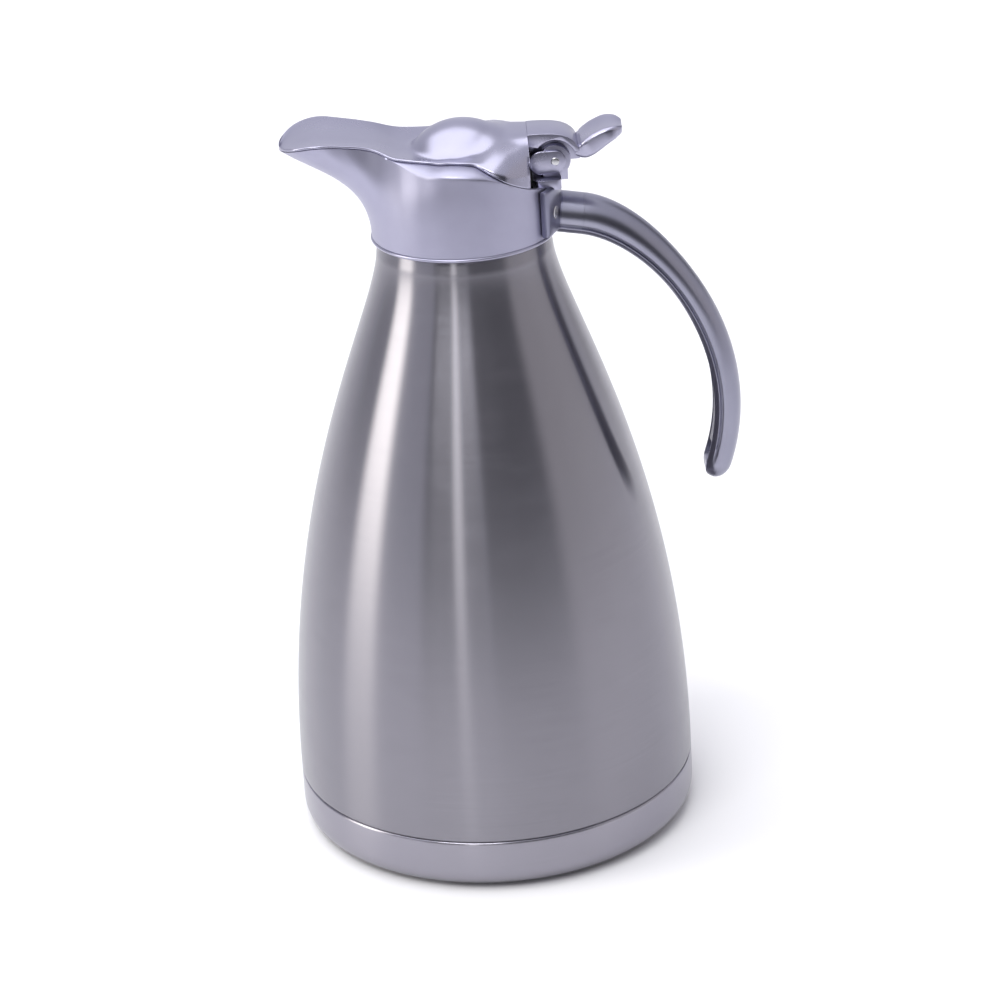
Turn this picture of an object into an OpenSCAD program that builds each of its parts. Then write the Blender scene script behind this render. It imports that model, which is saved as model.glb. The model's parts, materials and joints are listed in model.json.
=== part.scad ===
// Double-walled vacuum jug with a duckbill spout, a lever lid and an open handle.
// Origin at the centre of the foot, +Z up, spout towards -X, handle towards +X. Millimetres.

/* [Body] */
// Radius of the foot
foot_r = 75; // [74:0.5:76]
// Height of the seam between base cup and outer shell
seam_z = 21; // [20:0.5:22]
// Radius of the outer shell under the collar
neck_seat_r = 32.4; // [32:0.1:32.6]
// Height of the top of the outer shell's shoulder
shoulder_z = 230.4; // [230:0.1:230.6]
// Wall of the steel shells
shell_wall = 0.8; // [0.6:0.1:1]
// Gap between the outer shell and the liner
vacuum_gap = 7; // [6.8:0.1:7.4]
// Height of the liner's bottom
liner_z = 17; // [16.5:0.5:19]

/* [Collar and spout] */
// Radius of the collar at its lower edge
collar_r = 33.2; // [33:0.1:33.4]
// Height of the collar's lower edge
collar_z = 232.4; // [232.4:0.1:233]
// Wall of the collar
collar_wall = 2.4; // [2:0.1:2.5]
// Thickness of the lid's edge, with the gap under it
lid_edge = 2.8; // [2.6:0.1:3]

/* [Mouth] */
// Radius of the bore that the stopper closes
mouth_r = 23.5; // [23.3:0.1:23.6]
// Height of the seat plate's upper face
seat_z = 247.4; // [247.2:0.1:247.5]

/* [Hinge] */
// Distance of the hinge pin behind the jug's axis
hinge_x = 34; // [33.8:0.1:34.2]
// Height of the hinge pin
hinge_z = 258.5; // [258.3:0.1:258.7]
// Radius of the hinge pin
pin_r = 1.6; // [1.4:0.1:1.8]
// Distance from the middle to the inner face of an ear
ear_in = 4.9; // [4.8:0.1:5.2]
// Distance from the middle to the outer face of an ear
ear_out = 8.2; // [8:0.1:8.3]

/* [Lid] */
// Radius of the dome at its foot
dome_r = 18.5; // [18:0.5:19]
// Height of the dome above its foot
dome_h = 9.5; // [9:0.1:10]
// Half-width of the thumb lever
lever_half = 9.5; // [8.5:0.5:10]

/* [Handle] */
// Half-width of the handle at its root
handle_half = 9; // [8.5:0.1:9.5]
// Half-thickness of the handle at its root
handle_root = 7.6; // [7:0.1:8]

/* [Hidden] */
$fn = 96;

body_steps = 40;
liner_first = 3;
liner_last = 38;
neck_r = 27.5;
neck_top = 243.2;
liner_neck_r = 24.6;
pad_r = 62;
pad_h = 2.6;
foot_clear = 0.8;
foot_round = 8;
seam_gap = 0.4;
gap = 0.1;

// The rim of collar and lid: x, y, height of the lid's edge, and the angle it rises from on the collar.
RIM_HALF = [
    [33, 0, 250.6, 0],
    [29.9, 13.9, 251.4, 25],
    [21.2, 25.3, 255.6, 50],
    [8.5, 31.9, 262.5, 75],
    [-4.6, 31.6, 264, 98],
    [-13.8, 26.8, 263.3, 116],
    [-22.3, 20, 266.1, 130],
    [-31, 16.4, 269.7, 141],
    [-41.5, 17, 271.6, 150],
    [-50.5, 18.2, 272.4, 158],
    [-58, 15.6, 271.1, 166],
    [-62.6, 8.6, 269.3, 173.5],
    [-64, 0, 268.6, 180]
];
rim_steps = 3;
rise_steps = 8;
rise_low = 22;
rise_high = 8.3;
rise_pull = 0.41;

lid_first = 5;
lid_last = 35;
lid_cross = 20;
lid_skin = 2;
bill_dish = 1.2;
ridge_z = 268.7;
ridge_from = 2;
ridge_run = 17;
dome_x = 1;
dome_z = 263.8;
saddle_angle = 34;
saddle_in = 33.5;
saddle_t = 2.5;
block_x0 = 33.8;
block_x1 = 44.6;
block_z0 = 229.8;
block_z1 = 244.6;
block_half = 8.3;
hood_in = 6.3;
hood_out = 9.2;
hub_r = 5.2;
web_half = 4.6;
hood_half = 8.5;
bush_r = 2.6;
plug_low_z = 237;
plug_low_r = 18.8;
plug_high_r = 22;
flange_z = 249;
flange_r = 24.8;
column_r = 12;
column_top = 259.5;
plate_top = 261.4;
screw_ring = 9;
handle_a = [43, 235.2];
handle_b = [69.4, 230.6];
handle_c = [108.2, 179.4];
handle_d = [86.4, 129.6];
handle_rings = 28;
tip_from = 0.955;
tip_share = 0.75;
channel_half = 4.4;
strap_low = -0.6;
strap_high = 1.8;

// Cubic Bezier through two end points with two pull points
function bez(a, b, c, d, t) =
    a * pow(1 - t, 3) + 3 * b * t * pow(1 - t, 2) + 3 * c * t * t * (1 - t) + d * t * t * t;

function bez_slope(a, b, c, d, t) =
    3 * (b - a) * pow(1 - t, 2) + 6 * (c - b) * t * (1 - t) + 3 * (d - c) * t * t;

function mix(a, b, t) = a + (b - a) * t;

function smooth(t) = let (s = min(1, max(0, t))) s * s * (3 - 2 * s);

// Radius and height on the body's outline, moved inwards by inset
function body_point(t, inset) = [
    bez(foot_r, foot_r, 27.6, neck_seat_r, t) - inset,
    bez(seam_z, 146.4, 210.6, shoulder_z, t)
];

function body_curve(first, last, inset) =
    [for (i = [first:last]) body_point(i / body_steps, inset)];

function reversed(list) = [for (i = [len(list) - 1:-1:0]) list[i]];

// A closed curve through points k by Catmull-Rom pieces, at fraction t of piece i
function loop_at(k, i, t) =
    let (
        n = len(k),
        a = k[(i + n - 1) % n],
        b = k[i],
        c = k[(i + 1) % n],
        d = k[(i + 2) % n]
    )
    b + (c - a) * t / 2 + (2 * a - 5 * b + 4 * c - d) * t * t / 2
    + (3 * b - a - 3 * c + d) * t * t * t / 2;

function knot(k, side) = [k[0], side * k[1], k[2], cos(k[3]), side * sin(k[3])];

KNOTS = concat(
    [for (k = RIM_HALF) knot(k, 1)],
    [for (i = [len(RIM_HALF) - 2:-1:1]) knot(RIM_HALF[i], -1)]
);
RIM = [
    for (i = [0:len(KNOTS) - 1], s = [0:rim_steps - 1]) loop_at(KNOTS, i, s / rim_steps)
];
rim_n = len(RIM);

// Outward direction of the rim, seen from above
function rim_out(i) =
    let (
        a = RIM[(i + rim_n - 1) % rim_n],
        b = RIM[(i + 1) % rim_n],
        d = [b[1] - a[1], a[0] - b[0]]
    )
    d / norm(d);

// Point on the collar's wall at rim index i and rise v, moved inwards by inset
function collar_point(i, v, inset) =
    let (
        r = RIM[i],
        foot = [r[3], r[4]] * (collar_r - inset),
        top = [r[0], r[1]] - rim_out(i) * inset,
        pull = mix(top, foot, rise_pull),
        top_z = r[2] - lid_edge,
        flat = bez(foot, foot, pull, top, v)
    )
    [flat[0], flat[1], bez(collar_z, collar_z + rise_low, top_z - rise_high, top_z, v)];

// Triangles between closed rings of n points; wrap joins the last ring to the first
function ring_faces(n, rings, wrap) = [
    for (j = [0:rings - (wrap ? 1 : 2)], i = [0:n - 1])
        let (a = j * n + i, b = j * n + (i + 1) % n, k = (j + 1) % rings)
        each [[a, k * n + i, b], [b, k * n + i, k * n + (i + 1) % n]]
];

module ring_skin(rings) {
    n = len(rings[0]);
    points = [for (ring = rings) each reversed(ring)];
    caps = [[for (i = [0:n - 1]) i], [for (i = [n - 1:-1:0]) (len(rings) - 1) * n + i]];
    polyhedron(points, concat(ring_faces(n, len(rings), false), caps));
}

// Height of the dome over the point x, y
function dome_height(x, y) =
    let (
        r = (dome_r * dome_r + dome_h * dome_h) / (2 * dome_h),
        d = min(r, norm([x - dome_x, y]))
    )
    dome_z + dome_h - r + sqrt(r * r - d * d);

// Height of the lid's upper face at x and at fraction s of the way from the middle to its edge
function lid_height(x, half, edge_z, s) =
    let (
        middle = mix(edge_z - bill_dish, ridge_z, smooth((x - ridge_from) / ridge_run)),
        u = min(1, abs(s)),
        crown = pow(1 - pow(u, 2.6), 0.6)
    )
    max(mix(edge_z, middle, crown), dome_height(x, u * half));

function lid_ring(i) =
    let (x = RIM[i][0], half = RIM[i][1], z = RIM[i][2])
    concat(
        [for (j = [0:lid_cross]) let (s = 1 - 2 * j / lid_cross) [x, half * s, lid_height(x, half, z, s)]],
        [
            for (j = [lid_cross:-1:0])
                let (s = 1 - 2 * j / lid_cross)
                [x, half * s, max(z - lid_skin, lid_height(x, half, z, 1.2 * s) - lid_skin)]
        ]
    );

// Half-thickness and half-width of the handle, closing in a round tip
function handle_close(t) = sqrt(max(0.02, 1 - pow(max(0, (t - tip_from) / (1 - tip_from)), 2)));

// Place of ring i along the handle, with the rings closer together in the rounded tip
function handle_t(i) =
    let (u = i / handle_rings)
    u < tip_share ? tip_from * u / tip_share
        : tip_from + (1 - tip_from) * sin(90 * (u - tip_share) / (1 - tip_share));
function handle_thick(t) = mix(handle_root, 5.5, smooth(t / 0.45)) * handle_close(t);
function handle_wide(t) = mix(handle_half, 7.4, smooth(t)) * handle_close(t);

// A point beside the handle's middle line: a outwards from the body, b along Y
function handle_point(t, a, b) =
    let (
        p = bez(handle_a, handle_b, handle_c, handle_d, t),
        d = bez_slope(handle_a, handle_b, handle_c, handle_d, t),
        n = [-d[1], d[0]] / norm(d)
    )
    [p[0] + n[0] * a, b, p[1] + n[1] * a];

function handle_ring(t) =
    let (
        thick = handle_thick(t),
        wide = handle_wide(t),
        open = 1 - smooth((t - 0.935) / 0.03),
        slot = min(channel_half, 0.6 * wide),
        lip = -0.82 * thick,
        deep = mix(lip + 0.1, strap_high + 0.1, open)
    )
    concat(
        [for (k = [-8:8]) handle_point(t, thick * cos(k * 17.5), wide * sin(k * 17.5))],
        [
            handle_point(t, lip, slot),
            handle_point(t, deep, slot),
            handle_point(t, deep, -slot),
            handle_point(t, lip, -slot)
        ]
    );

// Strip of rectangular section inside the handle's channel
function strip_ring(t, low, high, half) = [
    handle_point(t, low, -half),
    handle_point(t, high, -half),
    handle_point(t, high, half),
    handle_point(t, low, half)
];

// A profile drawn in X and Z around the hinge pin, with its width along Y
module hinge_extrude(half) {
    translate([hinge_x, 0, hinge_z]) rotate([90, 0, 0]) linear_extrude(2 * half, center = true) children();
}

module hinge_bar(r, half) {
    hinge_extrude(half) circle(r);
}

module sector(r, from, to) {
    polygon(concat([[0, 0]], [for (a = [from:(to - from) / 16:to]) 2 * r * [cos(a), sin(a)]]));
}

module screw(head_r, head_h, shank_r, length) {
    cylinder(r = head_r, h = head_h);
    translate([0, 0, head_h]) cylinder(r = shank_r, h = length);
}

module outer_shell() {
    color("silver") rotate_extrude() polygon(concat(
        body_curve(0, body_steps, 0),
        [
            [neck_seat_r - 0.4, shoulder_z + 0.6],
            [neck_r + 0.8, shoulder_z + 0.6],
            [neck_r, shoulder_z + 1.4],
            [neck_r, neck_top],
            [neck_r - shell_wall, neck_top],
            [neck_r - shell_wall, shoulder_z + 1.1],
            [neck_r + 0.4, shoulder_z - 0.2],
            [neck_seat_r - shell_wall - 0.1, shoulder_z - 0.2]
        ],
        reversed(body_curve(0, body_steps - 1, shell_wall))
    ));
}

module base_cup() {
    lip_r = foot_r - shell_wall - gap;
    top = seam_z - seam_gap;
    mid_r = foot_r - foot_round;
    mid_z = foot_clear + foot_round;
    color("silver") rotate_extrude() polygon(concat(
        [
            [0, pad_h + gap],
            [pad_r + 0.3, pad_h + gap],
            [pad_r + 0.9, foot_clear]
        ],
        [for (a = [-90:9:0]) [mid_r + foot_round * cos(a), mid_z + foot_round * sin(a)]],
        [
            [foot_r, top],
            [lip_r, top],
            [lip_r, top + 5],
            [lip_r - shell_wall, top + 5],
            [lip_r - shell_wall, top - 1],
            [foot_r - shell_wall, top - 2]
        ],
        [
            for (a = [0:-9:-90])
                [mid_r + (foot_round - shell_wall) * cos(a), mid_z + (foot_round - shell_wall) * sin(a)]
        ],
        [
            [pad_r + 1.6, foot_clear + shell_wall],
            [pad_r + 1, pad_h + gap + shell_wall],
            [0, pad_h + gap + shell_wall]
        ]
    ));
}

module base_pad() {
    color("dimgray") rotate_extrude() polygon([
        [0, 0], [pad_r - 1, 0], [pad_r, 0.8], [pad_r, pad_h], [0, pad_h]
    ]);
}

module vacuum_bottom() {
    rim = foot_r - 1.9;
    color("lightgray") rotate_extrude() polygon([
        [rim, 24.5], [rim, 14], [70, 9.8], [60, 8.6], [20, 9.6], [0, 9.6],
        [0, 10.4], [20, 10.4], [60, 9.4], [69.6, 10.6], [rim - shell_wall, 14.4], [rim - shell_wall, 24.5]
    ]);
}

module seal_tip() {
    color("peru") translate([0, 0, 5.4]) cylinder(r = 2.5, h = 4.2);
}

module tip_guard() {
    color("lightgray") rotate_extrude() polygon([
        [0, 4], [7.5, 4], [7.5, 9.55], [6.8, 9.55], [6.8, 4.8], [0, 4.8]
    ]);
}

module getter() {
    color("gray") translate([34, 0, 10.5]) cylinder(r = 7, h = 2.4);
}

module foil_wrap() {
    low = 8;
    high = 33;
    inset = shell_wall + vacuum_gap - 0.4;
    color("wheat") rotate_extrude() polygon(concat(
        body_curve(low, high, inset),
        reversed(body_curve(low, high, inset + 0.25))
    ));
}

module inner_liner() {
    inset = shell_wall + vacuum_gap;
    side = body_point(liner_first / body_steps, inset);
    color("gainsboro") rotate_extrude() polygon(concat(
        [
            for (i = [0:12])
                bez([0, liner_z], [58, liner_z], [side[0] + 0.5, liner_z + 6], side, i / 12)
        ],
        body_curve(liner_first + 1, liner_last, inset),
        [
            [liner_neck_r, shoulder_z],
            [liner_neck_r, neck_top + 0.05],
            [neck_r, neck_top + 0.05],
            [neck_r, neck_top + 0.05 + shell_wall],
            [liner_neck_r - shell_wall, neck_top + 0.05 + shell_wall],
            [liner_neck_r - shell_wall, shoulder_z]
        ],
        reversed(body_curve(liner_first + 1, liner_last, inset + shell_wall)),
        [
            for (i = [12:-1:0])
                let (low = liner_z + shell_wall, end = side - [shell_wall, 0])
                bez([0, low], [57.5, low], [end[0] + 0.4, low + 5.6], end, i / 12)
        ]
    ));
}

module neck_gasket() {
    color("dimgray") translate([0, 0, neck_top + 0.9]) difference() {
        cylinder(r = neck_r, h = 1.5);
        translate([0, 0, -1]) cylinder(r = liner_neck_r - 0.6, h = 4);
    }
}

module neck_ring() {
    outer = 30.1;
    inner = 28.6;
    color("dimgray") difference() {
        union() {
            difference() {
                translate([0, 0, collar_z + gap]) cylinder(r = outer, h = seat_z - collar_z - gap);
                translate([0, 0, collar_z - 1]) cylinder(r = inner, h = seat_z - 1.7 - collar_z + 1);
            }
            for (z = [235, 238, 241]) translate([0, 0, z]) difference() {
                cylinder(r = inner + 0.3, h = 1.2);
                translate([0, 0, -1]) cylinder(r = neck_r + gap, h = 4);
            }
        }
        translate([0, 0, seat_z - 3]) cylinder(r = mouth_r, h = 5);
    }
}

module collar_trim_ring() {
    color("white") rotate_extrude() union() {
        translate([neck_r + 0.9, 231.05]) square([collar_r - neck_r - 1.1, 1.3]);
        translate([collar_r - 0.2, 231.7]) circle(0.65);
    }
}

module spout_collar() {
    walls = concat(
        [for (v = [0:rise_steps]) [for (i = [0:rim_n - 1]) collar_point(i, v / rise_steps, 0)]],
        [for (v = [rise_steps:-1:0]) [for (i = [0:rim_n - 1]) collar_point(i, v / rise_steps, collar_wall)]]
    );
    color("lightsteelblue") polyhedron([for (ring = walls) each ring], ring_faces(rim_n, len(walls), true));
}

module hinge_bracket() {
    deck_z0 = 249.3;
    deck_z1 = 253;
    color("slategray") difference() {
        union() {
            rotate([0, 0, -saddle_angle]) rotate_extrude(angle = 2 * saddle_angle)
                translate([saddle_in, 233.5]) square([saddle_t, 17]);
            translate([25.8, -14, deck_z0]) cube([10, 28, deck_z1 - deck_z0]);
            translate([block_x0, -block_half, block_z0])
                cube([block_x1 - block_x0, 2 * block_half, block_z1 - block_z0]);
            for (side = [-1, 1]) translate([0, side * (ear_in + ear_out) / 2, 0]) {
                hinge_bar(5.6, (ear_out - ear_in) / 2);
                translate([hinge_x - 4.4, -(ear_out - ear_in) / 2, 251.5])
                    cube([8.8, ear_out - ear_in, hinge_z - 251.5]);
            }
        }
        hinge_bar(bush_r, 20);
        translate([block_x0 + 1, -channel_half, 234]) cube([12, 2 * channel_half, 5.4]);
        translate([handle_a[0], -20, handle_a[1]])
            rotate([0, atan2(handle_a[1] - handle_b[1], handle_b[0] - handle_a[0]), 0])
                translate([-gap, 0, -20]) cube([20, 40, 40]);
        for (side = [-1, 1]) translate([38.6, side * 2.6, block_z0 - 1]) {
            cylinder(r = 1.2, h = 10);
            cylinder(r = 2.4, h = 3);
        }
    }
}

module bracket_screws() {
    color("silver") for (a = [-22, 22]) rotate([0, 0, a])
        translate([saddle_in + saddle_t + 1.3, 0, 241]) rotate([0, -90, 0]) screw(2.8, 1.3, 1.4, 7);
}

module hinge_bushes() {
    color("dimgray") for (side = [-1, 1]) translate([0, side * (ear_in + ear_out) / 2, 0]) difference() {
        hinge_bar(bush_r, (ear_out - ear_in) / 2);
        hinge_bar(pin_r, ear_out);
    }
}

module hinge_pin() {
    color("silver") hinge_bar(pin_r, ear_out);
}

module pin_caps() {
    color("white") for (side = [-1, 1]) translate([0, side * (ear_out + 0.45), 0]) hinge_bar(3, 0.45);
}

module handle_shell() {
    color("lightsteelblue") ring_skin([for (i = [0:handle_rings]) handle_ring(handle_t(i))]);
}

module handle_insert() {
    half = channel_half - 0.15;
    color("gray") ring_skin([
        for (i = [0:handle_rings - 1])
            let (t = 0.01 + 0.9 * i / (handle_rings - 1))
            strip_ring(t, -0.74 * handle_thick(t), strap_low - 0.2, half)
    ]);
}

module handle_core() {
    color("silver") ring_skin([
        for (i = [0:handle_rings - 1])
            strip_ring(-0.06 + 0.96 * i / (handle_rings - 1), strap_low, strap_high, channel_half - 0.3)
    ]);
}

module handle_screws() {
    color("silver") for (side = [-1, 1]) translate([38.6, side * 2.6, block_z0 + 0.2]) screw(2.3, 1.6, 1.2, 6);
}

module lid_cover() {
    color("lightsteelblue") ring_skin([for (i = [lid_first:lid_last]) lid_ring(i)]);
}

module lid_base() {
    color("dimgray") difference() {
        union() {
            translate([0, 0, column_top + gap]) cylinder(r = 15.5, h = plate_top - column_top - gap);
            for (a = [60, 180, 300]) rotate([0, 0, a])
                translate([12.4, 0, column_top + gap]) cylinder(r = 2.4, h = 3.5);
        }
        for (a = [0, 120, 240]) rotate([0, 0, a])
            translate([screw_ring, 0, column_top - 1]) cylinder(r = 1.3, h = 5);
    }
}

// Half outline of the arm in front of the hinge, up to the lid's rear face
module arm_wedge() {
    polygon([[-9.4, 0], [-9.4, 10.1], [-5, 10], [0, hood_out], [0, 0]]);
}

module lid_knuckle() {
    color("lightsteelblue") difference() {
        union() {
            hinge_extrude(web_half) union() {
                circle(hub_r);
                intersection() {
                    circle(hood_out);
                    sector(hood_out, -10, 180);
                }
                arm_wedge();
            }
            hinge_extrude(hood_half) difference() {
                union() {
                    intersection() {
                        circle(hood_out);
                        sector(hood_out, 20, 180);
                    }
                    arm_wedge();
                }
                circle(hood_in);
            }
            translate([14, -6, 262.8]) cube([11, 12, 2.8]);
        }
        hinge_bar(pin_r + 0.05, 20);
        for (side = [-1, 1]) {
            translate([17.5, side * 3.4, 260]) cylinder(r = 1.2, h = 8);
            translate([hinge_x + 4, side * 2.2, hinge_z + 1.2]) rotate([0, 90, 0]) cylinder(r = 1.1, h = 12);
        }
    }
}

module lid_screws() {
    color("silver") for (side = [-1, 1]) translate([17.5, side * 3.4, 261.6]) screw(2.2, 1.2, 1.2, 4.6);
}

module dome_foam() {
    color("ivory") translate([dome_x, 0, plate_top + 1.6]) cylinder(r = 9.6, h = 4);
}

module stopper_body() {
    color("dimgray") difference() {
        rotate_extrude() polygon([
            [0, plug_low_z], [plug_low_r, plug_low_z], [plug_high_r, seat_z - 0.2], [plug_high_r, flange_z],
            [flange_r, flange_z], [flange_r, flange_z + 1.6], [column_r, flange_z + 2.5],
            [column_r, column_top], [6, column_top], [6, 250.2], [10, 248], [19.2, 246.5],
            [17, plug_low_z + 2], [0, plug_low_z + 2]
        ]);
        for (a = [0, 120, 240]) rotate([0, 0, a])
            translate([screw_ring, 0, 253]) cylinder(r = 1.3, h = 10);
    }
}

module stopper_foam() {
    color("ivory") rotate_extrude() polygon([
        [0, plug_low_z + 2.1], [16.8, plug_low_z + 2.1], [19, 246.4], [9.9, 247.9], [5.9, 250.1],
        [5.9, 259], [0, 259]
    ]);
}

module stopper_seal() {
    color("dimgray") rotate_extrude() polygon([
        [plug_high_r + 0.05, seat_z + 0.5], [25.2, seat_z + 0.3], [25.6, seat_z + 0.7],
        [25.2, flange_z - 0.05], [plug_high_r + 0.05, flange_z - 0.05]
    ]);
}

module stopper_screws() {
    color("silver") for (a = [0, 120, 240]) rotate([0, 0, a])
        translate([screw_ring, 0, plate_top + 1.4]) rotate([180, 0, 0]) screw(2.4, 1.3, 1.3, 8);
}

module thumb_lever() {
    color("lightsteelblue") difference() {
        intersection() {
            translate([0, 0, hinge_z]) rotate([90, 0, 0]) linear_extrude(2 * lever_half, center = true)
                difference() {
                    polygon([
                        [41, -2.2], [43.9, -2.9], [45.8, -0.1], [48.1, 2.5], [51.7, 5], [55, 6.4],
                        [57.6, 7.1], [58.7, 8.4], [58.2, 10.1], [56.4, 10.9], [53.8, 10.8], [50.2, 9.4],
                        [46.8, 7.5], [43.9, 5.4], [41, 3.6]
                    ]);
                    translate([hinge_x, 0]) circle(hood_out + 0.05);
                }
            translate([0, 0, hinge_z - 20]) union() {
                translate([hinge_x, -lever_half, 0]) cube([19.7, 2 * lever_half, 40]);
                translate([hinge_x, 5 - lever_half, 0]) cube([25, 2 * lever_half - 10, 40]);
                for (side = [-1, 1]) translate([hinge_x + 19.7, side * (lever_half - 5), 0])
                    cylinder(r = 5, h = 40);
            }
        }
        for (side = [-1, 1]) translate([hinge_x + 4, side * 2.2, hinge_z + 1.2]) rotate([0, 90, 0])
            cylinder(r = 1.1, h = 16);
    }
}

module lever_screws() {
    color("silver") for (side = [-1, 1]) translate([hinge_x + 4.6, side * 2.2, hinge_z + 1.2])
        rotate([0, 90, 0]) cylinder(r = 1.1, h = 8);
}

outer_shell();
base_cup();
base_pad();
vacuum_bottom();
seal_tip();
tip_guard();
getter();
foil_wrap();
inner_liner();
neck_gasket();
neck_ring();
collar_trim_ring();
spout_collar();
hinge_bracket();
bracket_screws();
hinge_bushes();
hinge_pin();
pin_caps();
handle_shell();
handle_insert();
handle_core();
handle_screws();
lid_cover();
lid_base();
lid_knuckle();
lid_screws();
dome_foam();
stopper_body();
stopper_foam();
stopper_seal();
stopper_screws();
thumb_lever();
lever_screws();
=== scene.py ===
import json
import math

import bmesh
import bpy
import numpy as np
from mathutils import Matrix, Vector


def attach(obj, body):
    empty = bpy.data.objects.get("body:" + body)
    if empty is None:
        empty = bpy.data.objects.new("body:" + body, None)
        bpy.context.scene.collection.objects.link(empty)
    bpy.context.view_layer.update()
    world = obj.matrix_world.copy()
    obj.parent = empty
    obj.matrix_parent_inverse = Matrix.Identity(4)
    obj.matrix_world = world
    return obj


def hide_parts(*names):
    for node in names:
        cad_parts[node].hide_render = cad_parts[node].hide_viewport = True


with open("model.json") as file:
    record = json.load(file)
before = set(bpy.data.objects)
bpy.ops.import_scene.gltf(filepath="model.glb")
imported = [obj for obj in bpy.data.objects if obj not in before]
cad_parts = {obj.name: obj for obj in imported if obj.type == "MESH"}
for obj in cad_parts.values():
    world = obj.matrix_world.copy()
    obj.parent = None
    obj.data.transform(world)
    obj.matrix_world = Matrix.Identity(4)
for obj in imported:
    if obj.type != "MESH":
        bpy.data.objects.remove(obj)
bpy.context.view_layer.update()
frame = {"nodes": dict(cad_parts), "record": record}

MM = 0.001
scene = bpy.context.scene

# ---------------------------------------------------------------- camera
# Fitted to the silhouette: 1.3 m away, 23.8 degrees up, rolled 3.6 degrees.
ELEV = math.radians(23.79)
ROLL = math.radians(3.613)
DISTANCE = 1.3
TARGET = Vector((0, 0, 0.120))
cam_data = bpy.data.cameras.new("camera")
cam_data.sensor_width = 36.0
cam_data.lens = 125.05
cam_data.clip_start = 0.01
cam = bpy.data.objects.new("camera", cam_data)
scene.collection.objects.link(cam)
away = Vector((0, -math.cos(ELEV), math.sin(ELEV)))
turn = away.to_track_quat("Z", "Y").to_matrix().to_4x4()
cam.matrix_world = Matrix.Translation(TARGET + DISTANCE * away) @ turn @ Matrix.Rotation(-ROLL, 4, "Z")
cam_data.shift_x = 0.0185
cam_data.shift_y = 0.0125
scene.camera = cam


# ---------------------------------------------------------------- materials
class Nodes:
    """A small helper that adds and joins shader nodes."""

    def __init__(self, mat):
        self.tree = mat.node_tree
        self.bsdf = self.tree.nodes["Principled BSDF"]

    def new(self, kind, **settings):
        n = self.tree.nodes.new(kind)
        for k, v in settings.items():
            setattr(n, k, v)
        return n

    def link(self, a, b):
        self.tree.links.new(a, b)

    def coords(self, scale=(1, 1, 1)):
        tc = self.new("ShaderNodeTexCoord")
        mp = self.new("ShaderNodeMapping")
        mp.inputs["Scale"].default_value = scale
        self.link(tc.outputs["Object"], mp.inputs["Vector"])
        return mp.outputs["Vector"]

    def noise(self, vector, scale, detail=4.0, rough=0.55):
        n = self.new("ShaderNodeTexNoise")
        n.inputs["Scale"].default_value = scale
        n.inputs["Detail"].default_value = detail
        n.inputs["Roughness"].default_value = rough
        self.link(vector, n.inputs["Vector"])
        return n.outputs["Fac"]

    def span(self, value, low, high, start=0.3, end=0.7):
        m = self.new("ShaderNodeMapRange")
        m.inputs["From Min"].default_value = start
        m.inputs["From Max"].default_value = end
        m.inputs["To Min"].default_value = low
        m.inputs["To Max"].default_value = high
        self.link(value, m.inputs["Value"])
        return m.outputs["Result"]

    def mix_colour(self, fac, a, b):
        m = self.new("ShaderNodeMix", data_type="RGBA")
        m.inputs["A"].default_value = (*a, 1)
        m.inputs["B"].default_value = (*b, 1)
        self.link(fac, m.inputs["Factor"])
        return m.outputs["Result"]

    def bump(self, height, distance):
        b = self.new("ShaderNodeBump")
        b.inputs["Distance"].default_value = distance
        b.inputs["Strength"].default_value = 1.0
        self.link(height, b.inputs["Height"])
        return b.outputs["Normal"]


def material(name):
    mat = bpy.data.materials.new(name)
    mat.use_nodes = True
    return mat, Nodes(mat)


def brushed(name, colour, dark, rough, around=True, anis=0.75, depth=0.000004):
    """Brushed steel: fine lines around Z, with slight tone and gloss changes and smudges."""
    mat, n = material(name)
    b = n.bsdf
    b.inputs["Metallic"].default_value = 1.0
    b.inputs["Anisotropic"].default_value = anis
    b.inputs["Anisotropic Rotation"].default_value = 0.25
    tan = n.new("ShaderNodeTangent", direction_type="RADIAL", axis="Z")
    n.link(tan.outputs["Tangent"], b.inputs["Tangent"])
    scale = (30, 30, 4200) if around else (900, 900, 60)
    lines = n.noise(n.coords(scale), 1.0, 3.0, 0.6)
    clouds = n.noise(n.coords((14, 14, 9)), 1.0, 3.0, 0.5)
    marks = n.noise(n.coords((60, 60, 130)), 1.0, 5.0, 0.65)
    tone = n.new("ShaderNodeMath", operation="MULTIPLY_ADD")
    n.link(n.span(lines, 0.0, 0.3, 0.3, 0.7), tone.inputs[0])
    tone.inputs[1].default_value = 1.0
    n.link(n.span(clouds, 0.0, 0.4, 0.35, 0.7), tone.inputs[2])
    n.link(n.mix_colour(tone.outputs[0], colour, dark), b.inputs["Base Color"])
    gloss = n.new("ShaderNodeMath", operation="ADD")
    n.link(n.span(lines, rough - 0.01, rough + 0.015), gloss.inputs[0])
    n.link(n.span(marks, 0.0, 0.02, 0.5, 0.75), gloss.inputs[1])
    n.link(gloss.outputs[0], b.inputs["Roughness"])
    n.link(n.bump(lines, depth), b.inputs["Normal"])
    return mat


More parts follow.
